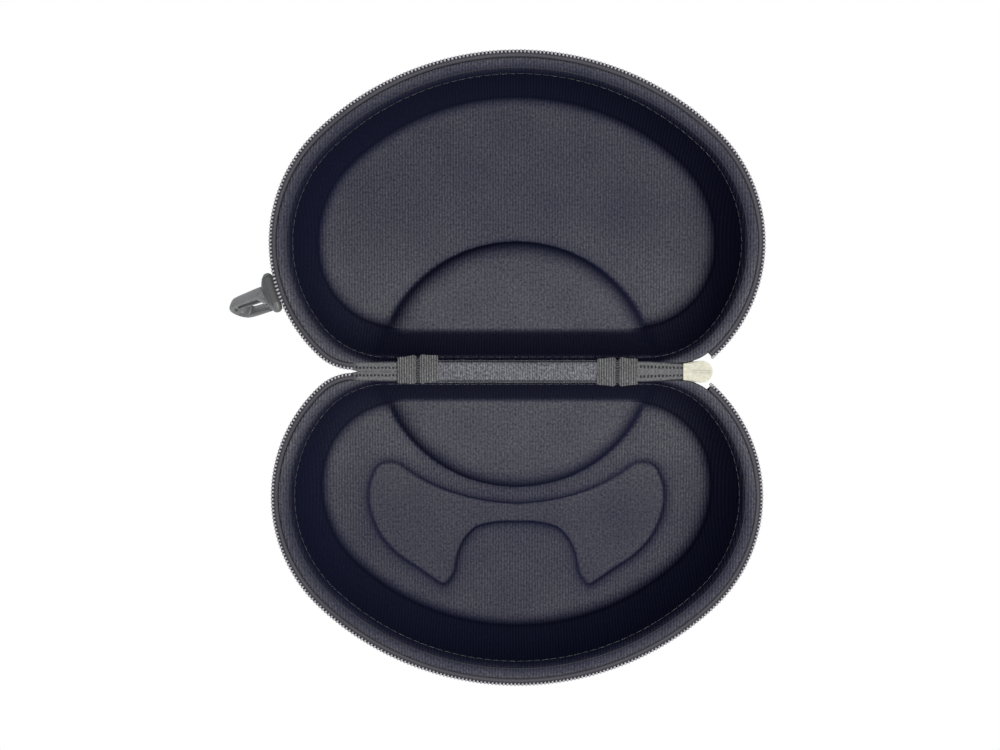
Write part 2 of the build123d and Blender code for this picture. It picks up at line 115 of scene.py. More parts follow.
def zip_run(inset, step, tail=True):
    """Points, outward normals and distances along the open zip, from the slider round to the left tab."""
    _, arcs = d_arcs(inset, EDGE_V + inset, CORNER - inset)
    start = atan2(ZIP_START[1] - (EDGE_V + CORNER), ZIP_START[0])
    pieces = [(arcs[0][0], arcs[0][1], start, arcs[0][3])] + arcs[1:]
    points, normals = [], []
    for centre, radius, a0, a1 in pieces:
        count = max(2, round(abs(a1 - a0) * radius / step))
        a = a0 + (np.arange(count) + 0.5) * (a1 - a0) / count
        n = np.stack([np.cos(a), np.sin(a)], 1)
        points.append(np.array(centre) + radius * n)
        normals.append(n)
    if tail:
        x0 = arcs[-1][0][0]
        count = round((-TAIL_X - x0) / step)
        x = x0 + (np.arange(count) + 0.5) * (-TAIL_X - x0) / count
        points.append(np.stack([x, np.full(count, EDGE_V + inset)], 1))
        normals.append(np.tile([0.0, -1.0], (count, 1)))
    points, normals = np.concatenate(points), np.concatenate(normals)
    gaps = np.hypot(*np.diff(points, axis=0).T)
    return points, normals, np.concatenate([[0], np.cumsum(gaps)])


# ---- mesh helpers --------------------------------------------------------------------------------
def place(side, xvz):
    """Metres in the part's frame from (x, v, z) in millimetres on one shell."""
    out = np.array(xvz, float)
    out[..., 1] = HINGE_Y + side * out[..., 1]
    return out * 0.001


def new_mesh(name, verts, faces, material, smooth=True):
    mesh = bpy.data.meshes.new(name)
    points = np.asarray(verts, float).reshape(-1, 3).tolist()
    mesh.from_pydata(points, [], [tuple(map(int, f)) for f in faces])
    mesh.update()
    obj = bpy.data.objects.new(name, mesh)
    bpy.context.collection.objects.link(obj)
    if material is not None:
        mesh.materials.append(material)
    if smooth:
        mesh.polygons.foreach_set("use_smooth", [True] * len(mesh.polygons))
    return obj


def grid_faces(rows, cols, closed, flip):
    r, c = np.meshgrid(np.arange(rows - 1), np.arange(cols if closed else cols - 1), indexing="ij")
    c2 = (c + 1) % cols
    quad = np.stack([r * cols + c, r * cols + c2, (r + 1) * cols + c2, (r + 1) * cols + c], -1).reshape(-1, 4)
    return quad[:, ::-1] if flip else quad


def set_uv(obj, uv):
    """UV map in millimetres, one value for each vertex."""
    layer = obj.data.uv_layers.new(name="flat_mm")
    index = np.empty(len(obj.data.loops), int)
    obj.data.loops.foreach_get("vertex_index", index)
    layer.data.foreach_set("uv", np.asarray(uv, float).reshape(-1, 2)[index].ravel())


def set_number(obj, values, name):
    """Per-vertex number that a material reads: shade scales its colour, ribbing the depth of its ribs."""
    layer = obj.data.attributes.new(name, "FLOAT", "POINT")
    layer.data.foreach_set("value", np.asarray(values, float).ravel())


def grid(name, xyz, material, closed=False, flip=False, uv=None, shade=None, ribbing=None):
    rows, cols = xyz.shape[:2]
    obj = new_mesh(name, xyz, grid_faces(rows, cols, closed, flip), material)
    if uv is not None:
        set_uv(obj, uv)
    if shade is not None:
        set_number(obj, shade, "shade")
        set_number(obj, np.ones(xyz.shape[:2]) if ribbing is None else ribbing, "ribbing")
    return obj


def modifier(obj, kind, **values):
    m = obj.modifiers.new(kind.lower(), kind)
    for key, value in values.items():
        setattr(m, key, value)
    return m


def smoothstep(t):
    t = np.clip(t, 0, 1)
    return t * t * (3 - 2 * t)


# ---- materials -----------------------------------------------------------------------------------
class Nodes:
    """Small helper that writes a node tree line by line."""

    def __init__(self, name):
        self.material = bpy.data.materials.new(name)
        self.material.use_nodes = True
        self.tree = self.material.node_tree
        self.shader = self.tree.nodes["Principled BSDF"]

    def node(self, kind, inputs=(), **values):
        n = self.tree.nodes.new(kind)
        for key, value in values.items():
            setattr(n, key, value)
        for key, value in dict(inputs).items():
            if hasattr(value, "is_output"):
                self.tree.links.new(value, n.inputs[key])
            else:
                n.inputs[key].default_value = value
        return n

    def maths(self, operation, a, b=None, c=None):
        inputs = {0: a}
        if b is not None:
            inputs[1] = b
        if c is not None:
            inputs[2] = c
        return self.node("ShaderNodeMath", inputs, operation=operation).outputs[0]

    def uv(self):
        coords = self.node("ShaderNodeUVMap", uv_map="flat_mm").outputs[0]
        split = self.node("ShaderNodeSeparateXYZ", {0: coords})
        return coords, split.outputs[0], split.outputs[1]

    def noise(self, vector, scale, detail=2.0, roughness=0.5):
        return self.node(
            "ShaderNodeTexNoise", {"Vector": vector, "Scale": scale, "Detail": detail, "Roughness": roughness}
        ).outputs["Fac"]

    def colour(self, base, factor, painted_shade_blue=0.0):
        """Base colour times a varying factor; the last argument keeps that share of the blue where the factor
        is low, a blue cast painted into the shaded parts.
        """
        blue = self.maths("MULTIPLY_ADD", factor, 1 - painted_shade_blue, painted_shade_blue) if painted_shade_blue else factor
        green = self.maths("MULTIPLY_ADD", factor, 1 - 0.07 * painted_shade_blue, 0.07 * painted_shade_blue) if painted_shade_blue else factor
        tint = self.node("ShaderNodeCombineXYZ", {0: factor, 1: green, 2: blue}).outputs[0]
        mix = self.node("ShaderNodeVectorMath", {0: base[:3], 1: tint}, operation="MULTIPLY")
        self.tree.links.new(mix.outputs[0], self.shader.inputs["Base Color"])

    def bump(self, height, strength, distance):
        inputs = {"Height": height, "Strength": strength, "Distance": distance * 0.001}
        n = self.node("ShaderNodeBump", inputs)
        self.tree.links.new(n.outputs[0], self.shader.inputs["Normal"])

    def set(self, **values):
        for key, value in values.items():
            self.shader.inputs[key.replace("_", " ")].default_value = value


def ribbed_cloth(name, colour, pitch, rib_depth, mottle=0.5, sheen=0.3, cross=0.0, across=False, painted_shade_blue=0.0):
    """Ribbed knit or ribbon: ribs at a pitch along the map's first axis, broken up by stitches and fuzz."""
    m = Nodes(name)
    coords, u, v = m.uv()
    if across:
        u, v = v, u
    wander = m.maths("MULTIPLY", m.noise(coords, 0.35, 1.0), 0.5)
    rib = m.maths("SINE", m.maths("MULTIPLY", m.maths("ADD", u, wander), 2 * pi / pitch))
    stitch = m.maths("SINE", m.maths("MULTIPLY", v, 2 * pi / (pitch * 0.72)))
    fuzz = m.noise(coords, 0.95, 3.0, 0.75)
    cloud = m.noise(coords, 0.055, 2.0)
    shade = m.node("ShaderNodeAttribute", attribute_name="shade").outputs["Fac"]
    ribbing = m.node("ShaderNodeAttribute", attribute_name="ribbing").outputs["Fac"]
    broken = m.maths("MULTIPLY", ribbing, m.maths("MULTIPLY_ADD", m.noise(coords, 0.5, 2.0), 0.5, 0.0))
    ribs = m.maths("MULTIPLY_ADD", rib, broken, 1.0)
    speckle = m.maths("MULTIPLY_ADD", m.maths("SUBTRACT", fuzz, 0.5), 6.5 * mottle, 1.0)
    clouds = m.maths("MULTIPLY_ADD", m.maths("SUBTRACT", cloud, 0.5), 0.5, 1.0)
    factor = m.maths("MULTIPLY", m.maths("MULTIPLY", ribs, speckle), m.maths("MULTIPLY", clouds, shade))
    m.colour(colour, factor, painted_shade_blue)
    height = m.maths("ADD", rib, m.maths("MULTIPLY_ADD", stitch, cross, m.maths("MULTIPLY", fuzz, 1.2)))
    m.bump(height, 0.7, rib_depth)
    m.set(Roughness=0.92, Specular_IOR_Level=0.2, Sheen_Weight=sheen, Sheen_Roughness=0.45)
    return m.material


def woven_cloth(name, colour, pitch, sheen=0.15, roughness=0.8):
    """Plain weave: threads over and under at the pitch both ways."""
    m = Nodes(name)
    coords, u, v = m.uv()
    warp = m.maths("SINE", m.maths("MULTIPLY", u, 2 * pi / pitch))
    weft = m.maths("SINE", m.maths("MULTIPLY", v, 2 * pi / pitch))
    weave = m.maths("MULTIPLY", warp, weft)
    fuzz = m.noise(coords, 1.7, 2.0)
    cloud = m.noise(coords, 0.03, 2.0)
    shade = m.node("ShaderNodeAttribute", attribute_name="shade").outputs["Fac"]
    clouds = m.maths("MULTIPLY_ADD", cloud, 0.3, 0.85)
    factor = m.maths("MULTIPLY", m.maths("MULTIPLY_ADD", weave, 0.14, clouds), shade)
    m.colour(colour, factor)
    m.bump(m.maths("ADD", weave, fuzz), 0.6, 0.12)
    m.set(Roughness=roughness, Specular_IOR_Level=0.3, Sheen_Weight=sheen, Sheen_Roughness=0.4)
    return m.material


def ladder_tape(name, colour):
    """Zip tape over its coil: a row of small square gaps between the stitches."""
    m = Nodes(name)
    coords, u, v = m.uv()
    along = m.maths("FRACT", m.maths("DIVIDE", u, 1.5))
    hole_u = m.maths("LESS_THAN", m.maths("ABSOLUTE", m.maths("SUBTRACT", along, 0.5)), 0.27)
    hole_v = m.maths("LESS_THAN", m.maths("ABSOLUTE", m.maths("SUBTRACT", v, 1.55)), 0.42)
    hole = m.maths("MULTIPLY", hole_u, hole_v)
    fine = m.maths("SINE", m.maths("MULTIPLY", v, 2 * pi / 0.6))
    fuzz = m.noise(coords, 2.5, 2.0)
    weave = m.maths("MULTIPLY_ADD", m.noise(coords, 1.3, 3.0, 0.7), 3.0, -0.5)
    factor = m.maths("MULTIPLY", m.maths("MULTIPLY_ADD", hole, -0.86, 1.0), m.maths("MAXIMUM", weave, 0.25))
    m.colour(colour, m.maths("MULTIPLY_ADD", fine, 0.02, factor))
    m.bump(m.maths("MULTIPLY_ADD", hole, -1.0, m.maths("MULTIPLY", fuzz, 0.3)), 0.8, 0.25)
    m.set(Roughness=0.8, Specular_IOR_Level=0.3, Sheen_Weight=0.2)
    return m.material


def moulded_plastic(name, colour, roughness=0.42, grain=60.0):
    """Moulded nylon with a fine spark-eroded grain."""
    m = Nodes(name)
    coords = m.node("ShaderNodeTexCoord").outputs["Object"]
    fine = m.noise(coords, grain * 60, 3.0)
    wear = m.noise(coords, grain * 3, 2.0)
    m.colour(colour, m.maths("MULTIPLY_ADD", wear, 0.5, 0.75))
    m.bump(fine, 0.25, 0.05)
    m.set(Specular_IOR_Level=0.5)
    rough = m.maths("MULTIPLY_ADD", fine, 0.15, roughness - 0.07)
    m.tree.links.new(rough, m.shader.inputs["Roughness"])
    return m.material


def metal(name, colour, roughness, metallic=1.0):
    """Cast or drawn metal with faint flow marks."""
    m = Nodes(name)
    coords = m.node("ShaderNodeTexCoord").outputs["Object"]
    flow = m.noise(coords, 900, 3.0)
    m.colour(colour, m.maths("MULTIPLY_ADD", m.noise(coords, 260, 2.0), 0.24, 0.88))
    m.bump(flow, 0.15, 0.04)
    m.set(Metallic=metallic, Specular_IOR_Level=0.5)
    m.tree.links.new(m.maths("MULTIPLY_ADD", flow, 0.2, roughness - 0.1), m.shader.inputs["Roughness"])
    return m.material


KNIT = (0.058, 0.058, 0.073)
mat_lining = ribbed_cloth("lining_knit", KNIT, KNIT_PITCH, 0.16, sheen=0.0, painted_shade_blue=0.3)
mat_strip = ribbed_cloth("hinge_jersey", (0.135, 0.133, 0.145), 0.95, 0.12, mottle=0.7)
mat_tab = ribbed_cloth("grosgrain", (0.125, 0.122, 0.118), 1.0, 0.1, mottle=0.5, sheen=0.2)
mat_cover = woven_cloth("cover_nylon", (0.021, 0.021, 0.024), 0.75)
mat_tape = woven_cloth("zip_tape", (0.042, 0.04, 0.045), 0.6, sheen=0.0)
mat_web = woven_cloth("webbing", (0.11, 0.11, 0.105), 0.9)
mat_thread = woven_cloth("thread", (0.14, 0.145, 0.16), 0.35, sheen=0.35, roughness=0.6)
mat_ladder = ladder_tape("zip_ladder", (0.125, 0.123, 0.122))
# The black coil is coloured light grey: painted glints, with real gloss from the low roughness.
mat_teeth = moulded_plastic("zip_teeth", (0.42, 0.4, 0.41), 0.28)
mat_hook = moulded_plastic("hook_plastic", (0.18, 0.18, 0.175), 0.45)
mat_foam = moulded_plastic("foam", (0.03, 0.03, 0.032), 0.8)
mat_slider = metal("slider_paint", (0.4, 0.385, 0.3), 0.5, 0.25)
mat_steel = metal("steel", (0.5, 0.5, 0.5), 0.35)


# ---- floor relief --------------------------------------------------------------------------------
def badge_outline():
    """Right half of a plain goggle outline as curves through three points each, mirrored."""
    arcs = [
        ((0, 60.0), (27.3, 55.3), (50.0, 43.2)),
        ((50.0, 43.2), (57.2, 42.6), (61.2, 47.0)),
        ((61.2, 47.0), (63.3, 58.0), (60.0, 70.0)),
        ((60.0, 70.0), (53.6, 79.2), (43.6, 86.7)),
        ((43.6, 86.7), (37.5, 91.0), (33.2, 94.0)),
        ((33.2, 94.0), (31.0, 94.6), (28.9, 92.6)),
        ((28.9, 92.6), (27.4, 90.2), (26.6, 87.5)),
        ((26.6, 87.5), (23.6, 77.0), (17.5, 70.0)),
        ((17.5, 70.0), (9.5, 67.9), (0, 67.6)),
    ]
    points = []
    for a, b, c in arcs:
        t = np.linspace(0, 1, 40, endpoint=False)[:, None]
        a, b, c = (np.array(p, float) for p in (a, b, c))
        bulge = 2 * b - 0.5 * (a + c)
        points.append((1 - t) ** 2 * a + 2 * t * (1 - t) * bulge + t ** 2 * c)
    right = np.concatenate(points)
    left = right[::-1] * np.array([-1, 1])
    return np.concatenate([right, left[:-1]])


def signed_distance(points, outline):
    """Distance inside (+) or outside (-) a closed outline."""
    nearest = np.full(len(points), 1e9)
    inside = np.zeros(len(points), bool)
    for a, b in zip(outline, np.roll(outline, -1, 0)):
        edge = b - a
        rel = points - a
        t = np.clip((rel @ edge) / max(edge @ edge, 1e-12), 0, 1)
        nearest = np.minimum(nearest, np.hypot(*(rel - t[:, None] * edge).T))
        crosses = (a[1] > points[:, 1]) != (b[1] > points[:, 1])
        if abs(edge[1]) > 1e-12:
            inside ^= crosses & (points[:, 0] < a[0] + (points[:, 1] - a[1]) * edge[0] / edge[1])
    return np.where(inside, nearest, -nearest)


def step_height(x, v, offset=0.0):
    """Height of the half-round step above the floor: steep at its foot, rolling over to its flat top."""
    r = np.hypot(x, v - STEP_CV) + STEP_LEAN * offset
    t = np.clip((STEP_BASE - r) / STEP_ROLL, 0, 1)
    return STEP_H * np.sqrt(1 - (1 - t) ** 2)


def near_badge(x, v):
    return (v > BADGE_V[0]) & (v < BADGE_V[1]) & (np.abs(x) < BADGE_X)


def relief(xvz, floor, badge, offset=0.0):
    """Raise the step and press the badge into a shell surface."""
    x, v, z = xvz[..., 0], xvz[..., 1], xvz[..., 2]
    step = step_height(x, v, offset)
    raised = floor + step
    soft = 3.0 * np.clip(step / STEP_H, 0, 1) + 1e-6
    h = np.clip(0.5 + 0.5 * (raised - z) / soft, 0, 1)
    out = np.where(step > 0, z * (1 - h) + raised * h + soft * h * (1 - h), z)
    if badge:
        near = near_badge(x, v) & (z < floor + 3)
        pts = np.stack([x[near], v[near]], 1)
        d = signed_distance(pts, badge_outline())
        t = np.clip(-d / BADGE_SHOULDER, 0, 1)
        out[near] -= BADGE_DEPTH * (1 - np.sqrt(1 - (1 - t) ** 2))
    xvz[..., 2] = out
    return xvz


# ---- shells --------------------------------------------------------------------------------------
# Run of the padded wall from lip to floor: at the sides, at the hinge, and its slide towards the hinge.
PAD_RUN = {BACK: (8.4, 11.5, 0.0), FRONT: (9.4, 11.0, 0.4)}
PAD_START, PAD_ROUND = 7.5, 5.5
FLOOR_CORNER = 34.0


def padded_wall(side):
    """Lining stations from the lip down the thick padded wall to the floor."""
    run, edge_run, slide = PAD_RUN[side]
    inset, edge, corner = CAVITY
    rows = []
    straight = DEPTH - PAD_ROUND
    for d in np.linspace(PAD_START, straight, 18):
        t = d / straight
        bow = 0.35 * sin(pi * t)
        rows.append((
            inset + run * (t - bow * 0.3), edge + edge_run * (t - bow * 0.3),
            corner + (FLOOR_CORNER - corner) * t, RIM - d, slide * t,
        ))
    for a in np.linspace(0.15, pi / 2, 12):
        out = PAD_ROUND * (1 - cos(a))
        rows.append((inset + run + out, edge + edge_run + out, FLOOR_CORNER - 0.5 * out,
                     RIM - straight - PAD_ROUND * sin(a), slide))
    return rows


def wall_stations(start, floor_z, top_drop, round_r, edge_lean):
    """(inset, edge, corner, z, slide) down a leaning wall and round its bottom fillet."""
    inset, edge, corner = start
    depth = RIM - floor_z
    rows = []
    straight = depth - round_r
    for d in np.linspace(top_drop, straight, 15):
        rows.append((inset + LEAN * d, edge + edge_lean * d / depth, corner - LEAN * d / 2, RIM - d, 0.0))
    top = inset + LEAN * straight
    top_edge = edge + edge_lean * straight / depth
    for a in np.linspace(0.12, pi / 2, 14):
        out = round_r * (1 - cos(a))
        rows.append((top + out, top_edge + out, corner - LEAN * straight / 2 - out * 0.55,
                     RIM - straight - round_r * sin(a), 0.0))
    return rows


def bowl(name, side, stations, floor, material, flip, badge=False, offset=0.0, shade=None, rings=120):
    """Surface from the rim over the wall and across the floor, with its relief."""
    rows = []
    for inset, edge, corner, z, slide in stations:
        ring = d_ring(inset, edge, corner)
        ring[:, 1] -= slide * smoothstep((ring[:, 1] - edge) / 40.0)
        rows.append(np.concatenate([ring, np.full((len(ring), 1), z)], 1))
    centre = np.array(FLOOR_CENTRE)
    last = rows[-1][:, :2]
    for t in np.linspace(0, 1, rings + 1)[1:]:
        k = 1 - t
        ring = centre + (k if k > 0 else 1e-4) * (last - centre)
        rows.append(np.concatenate([ring, np.full((len(ring), 1), rows[len(stations) - 1][0, 2])], 1))
    xvz = np.stack(rows)
    flat = xvz[..., :2].copy()
    xvz = relief(xvz, floor, badge, offset)
    values = np.ones(xvz.shape[:2]) if shade is None else shade(xvz)
    ribbing = np.ones(xvz.shape[:2])
    if badge:
        near = near_badge(xvz[..., 0], xvz[..., 1])
        distance = signed_distance(xvz[near][:, :2], badge_outline())
        ribbing[near] = 1 - 0.85 * smoothstep(distance / 0.8 + 0.5)
        values[near] *= crease_shade(distance, 2.4, 0.4)
    ribbing *= 1 - 0.6 * smoothstep(step_height(xvz[..., 0], xvz[..., 1]) / STEP_H * 2 - 1)
    return grid(
        name, place(side, xvz), material, closed=True, flip=flip != (side == FRONT),
        uv=flat, shade=values, ribbing=ribbing,
    )


def lip_stations():
    """Rolled lip: from the zip seam over the rim to the top of the inner wall."""
    profile = [
        (3.55, -2.6), (3.35, -1.9), (3.28, -1.2), (3.32, -0.6), (3.5, -0.25), (3.85, -0.06),
        (4.3, 0.0), (4.9, -0.1), (5.6, -0.3), (6.3, -0.5), (7.0, -0.75), (7.45, -1.3),
        (7.9, -2.0), (8.4, -3.0), (8.8, -4.0), (9.1, -5.0), (9.4, -6.2),
    ]
    rows = []
    for inset, z in profile:
        k = (inset - LIP[0]) / (CAVITY[0] - LIP[0])
        edge = LIP[1] + k * (CAVITY[1] - LIP[1])
        corner = LIP[2] + k * (CAVITY[2] - LIP[2])
        rows.append((inset, edge, corner, RIM + z, 0.0))
    return rows


def levelness(xvz):
    """How level a closed grid's surface is: 1 on the flat, 0 on an upright wall."""
    along = np.roll(xvz, -1, 1) - np.roll(xvz, 1, 1)
    across = np.gradient(xvz, axis=0)
    normal = np.cross(along, across)
    size = np.linalg.norm(normal, axis=-1)
    level = np.abs(normal[..., 2]) / np.maximum(size, 1e-9)
    level[-1] = level[-3]
    level[-2] = level[-3]
    return level


def crease_shade(distance, outside, inside):
    """Painted shade beside an edge, darkest at the edge and fading out to each side of it."""
    return 1 - PAINTED_CREASE_SHADE * np.exp(np.where(distance < 0, distance / outside, -distance / inside))


def lining_shade(xvz):
    """Painted shade and light on the knit: dark where the shell is steep, darker in the crease at the step's
    foot, lighter towards the hinge, and a painted highlight fading from the zip seam down the lip.
    """
    level = levelness(xvz)
    # Painted light: the knit is lighter near the hinge and darker towards the far wall.
    hinge_light = 1.0 - 0.3 * smoothstep((xvz[..., 1] - 28.0) / 40.0)
    # Painted shade: the colour falls steeply with the slope, so the walls come out near black.
    slope_shade = 0.03 + 1.22 * level ** 2.2
    inset = [station[0] for station in lip_stations()]
    slope_shade[:len(inset)] = np.interp(inset, LIP_LIGHT_AT, LIP_LIGHT)[:, None]
    foot = STEP_BASE - np.hypot(xvz[..., 0], xvz[..., 1] - STEP_CV)
    return hinge_light * slope_shade * crease_shade(foot, 1.4, 2.2)


def make_lining(side, label, body):
    stations = lip_stations() + padded_wall(side)
    obj = bowl(
        label + "_lining_knit", side, stations, FLOOR, mat_lining, flip=False,
        badge=(side == FRONT), shade=lining_shade,
    )
    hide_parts(label + "_lining")
    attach(obj, body)


def make_cover(side, label, body):
    stations = [(TUB[0] + 0.9, TUB[1] + 0.9, TUB[2], RIM - 2.3, 0.0)]
    stations += wall_stations(TUB, 0.0, 2.3, OUTER_ROUND, 2.5)
    obj = bowl(label + "_cover_cloth", side, stations, 0.0, mat_cover, flip=True, offset=5.0, rings=90)
    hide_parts(label + "_cover")
    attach(obj, body)


# ---- zip -----------------------------------------------------------------------------------------
def sweep(profile, step):
    """Grid of points for a profile of (inset, z) carried along the open run of zip."""
    rows = []
    base = None
    for inset, z in profile:
        pts, _, along = zip_run(inset, step)
        base = along if base is None else base
        rows.append(np.concatenate([pts, np.full((len(pts), 1), z)], 1))
    count = min(len(r) for r in rows)
    rows = [r[np.linspace(0, len(r) - 1, count).round().astype(int)] for r in rows]
    return np.stack(rows), base[:count]


def make_tape(side, label, body):
    """Woven tape from the lip seam, under the teeth and down to the shell wall."""
    profile = [
        (3.5, RIM - 2.4), (3.15, RIM - 1.2), (2.7, RIM - 0.75), (2.2, RIM - 0.75), (1.6, RIM - 1.1),
        (0.7, RIM - 1.2), (0.32, RIM - 1.7), (0.9, RIM - 3.4), (2.0, RIM - 5.4), (3.2, RIM - 6.8),
        (3.9, RIM - FLARE),
    ]
    xvz, along = sweep(profile, 1.2)
    steps = [hypot(a[0] - b[0], a[1] - b[1]) for a, b in zip(profile, profile[1:])]
    across = np.cumsum([0] + steps)
    uv = np.stack(np.broadcast_arrays(along[None, :], across[:, None]), -1)
    # Painted light and shade across the tape, row by row: dark in the seam and under the teeth, a painted
    # highlight on its raised crown.
    painted_light_bands = [0.4, 0.9, 1.8, 2.3, 1.2, 0.5, 0.5, 0.8, 1.0, 1.0, 1.0]
    shade = np.repeat(np.array(painted_light_bands)[:, None], xvz.shape[1], 1)
    obj = grid(
        label + "_zip_tape_cloth", place(side, xvz), mat_tape, flip=(side == BACK), uv=uv, shade=shade,
    )
    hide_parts(label + "_zip_tape")
    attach(obj, body)


def tooth_template(rings=7, around=8):
    """Head of one coil tooth: a rounded bead across the tape's edge, on unit axes out, along and up."""
    t = np.linspace(0, 1, rings)
    half = 0.5 * np.sqrt(np.clip(1 - np.abs(2 * t - 1) ** 3, 0.05, 1))
    reach = -0.75 + 1.4 * t
    a = np.linspace(0, 2 * pi, around, endpoint=False)
    out = np.repeat(reach[:, None], around, 1)
    along = half[:, None] * np.cos(a)[None, :]
    up = (half[:, None] * 1.1) * np.sin(a)[None, :]
    verts = np.stack([out, along, up], -1).reshape(-1, 3)
    faces = grid_faces(rings, around, True, False).tolist()
    faces += [list(range(around))[::-1], list(range((rings - 1) * around, rings * around))]
    return verts, faces


def make_teeth(side, label, body):
    """Every tooth of the coil, slanted a little along its run; the two sides are half a pitch apart."""
    pts, normals, _ = zip_run(0.75, TOOTH_PITCH, tail=False)
    if side == FRONT:
        pts = pts + 0.5 * TOOTH_PITCH * np.stack([normals[:, 1], -normals[:, 0]], 1)
    verts, faces = tooth_template()
    slant = 0.16
    all_verts, all_faces = [], []
    for i, (p, n) in enumerate(zip(pts, normals)):
        t = np.array([-n[1], n[0]])
        lean = rng.normal(0, 0.03)
        out = n * cos(slant + lean) + t * sin(slant + lean)
        tang = np.array([-out[1], out[0]])
        xv = p + verts[:, :1] * out + verts[:, 1:2] * tang
        z = RIM - 0.75 + verts[:, 2]
        all_verts.append(np.concatenate([xv, z[:, None]], 1))
        all_faces += [[k + i * len(verts) for k in f] for f in faces]
    xyz = place(side, np.concatenate(all_verts))
    obj = new_mesh(label + "_zip_teeth", xyz, all_faces, mat_teeth)
    set_uv(obj, np.concatenate(all_verts)[:, :2])
    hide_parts(label + "_zip_coil")
    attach(obj, body)


def make_tail(side, label, body):
    """Flat end of the zip beside the left tab, with its ladder of stitches."""
    x = np.linspace(-TAIL_END, -TAIL_X, 40)
    v = np.linspace(-0.1, 3.75, 9)
    xx, vv = np.meshgrid(x, v)
    taper = smoothstep((xx + TAIL_END) / 3.0)
    z = RIM - 0.35 + 0.25 * np.sin(pi * (vv - 0.25) / 3.5) - 1.0 * (1 - taper)
    vv2 = vv + (1 - taper) * 0.5
    obj = grid(
        label + "_zip_tail", place(side, np.stack([xx, vv2, z], -1)), mat_ladder,
        flip=(side == FRONT), uv=np.stack([xx, vv], -1),
    )
    modifier(obj, "SOLIDIFY", thickness=0.0006, offset=-1)
    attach(obj, body)


def make_chain():
    """Closed stretch of zip between the right tab and the slider."""
    x = np.linspace(CHAIN_X - 1.5, SLIDER_X + 0.6, 50)
    w = np.linspace(-1, 1, 17)
    xx, ww = np.meshgrid(x, w)
    half = 4.05 - 0.85 * smoothstep((xx - 52) / 14)
    yy = ww * half
    z = RIM - 0.25 + 0.35 * (1 - ww ** 2) ** 0.5
    xyz = np.stack([xx, HINGE_Y + yy, z], -1) * 0.001
    obj = grid("zip_chain_tape", xyz, mat_ladder, uv=np.stack([xx, np.abs(ww * 3.2)], -1))
    modifier(obj, "SOLIDIFY", thickness=0.0007, offset=-1)
    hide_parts("zip_chain_closed")
    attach(obj, "zip_end")


# ---- stitches ------------------------------------------------------------------------------------
def make_stitch_line(side, label, body):
    """Lockstitch round the inner wall: short raised lengths of thread."""
    drop = 6.0
    inset, edge, corner = CAVITY
    ring = d_ring(inset + 1.15, edge + 1.15, corner - 0.6)
    closed = np.concatenate([ring, ring[:1]])
    gaps = np.hypot(*np.diff(closed, axis=0).T)
    along = np.concatenate([[0], np.cumsum(gaps)])
    pitch = 3.4
    verts, faces = [], []
    section = 6
    for i in range(int(along[-1] / pitch)):
        s = np.linspace(i * pitch + 0.25, (i + 1) * pitch - 0.25, 6)
        x = np.interp(s, along, closed[:, 0])
        v = np.interp(s, along, closed[:, 1])
        dx, dv = np.gradient(x), np.gradient(v)
        size = np.hypot(dx, dv)
        nx, nv = -dv / size, dx / size
        lift = 0.12 * np.sin(np.linspace(0, pi, 6))
        for k in range(6):
            r = 0.13 * (0.35 + 0.65 * sin(pi * (k + 0.5) / 6))
            for a in np.linspace(0, 2 * pi, section, endpoint=False):
                verts.append((
                    x[k] + nx[k] * (lift[k] + r * cos(a)),
                    v[k] + nv[k] * (lift[k] + r * cos(a)),
                    RIM - drop + 0.2 + r * sin(a),
                ))
        start = i * 6 * section
        faces += (grid_faces(6, section, True, False) + start).tolist()
    obj = new_mesh(label + "_stitches", place(side, np.array(verts)), faces, mat_thread)
    set_uv(obj, np.array(verts)[:, :2])
    set_number(obj, np.full(len(verts), 0.35), "shade")
    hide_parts(label + "_stitch_line")
    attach(obj, body)


# ---- hinge strip and tabs ------------------------------------------------------------------------
def across_hinge(obj):
    """Bake the object's placement into its mesh."""
    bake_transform(obj)


def make_strip():
    x = np.linspace(-47.5, 47.5, 240)
    v = np.linspace(-4.6, 4.6, 31)
    xx, vv = np.meshgrid(x, v)
    flat = np.clip(np.abs(vv) - 2.9, 0, None)
    z = RIM + 0.02 - 0.75 * flat ** 1.6 + 0.06 * np.sin(xx * 0.31 + 1.0) * np.cos(vv * 0.6)
    shade = 1.0 - 0.45 * smoothstep((np.abs(vv) - 3.3) / 1.0)
    xyz = np.stack([xx, HINGE_Y + vv, z], -1) * 0.001
    obj = grid("hinge_strip_jersey", xyz, mat_strip, uv=np.stack([xx, vv], -1), shade=shade)
    modifier(obj, "SOLIDIFY", thickness=0.0007, offset=-1)
    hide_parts("hinge_strip")
    across_hinge(obj)


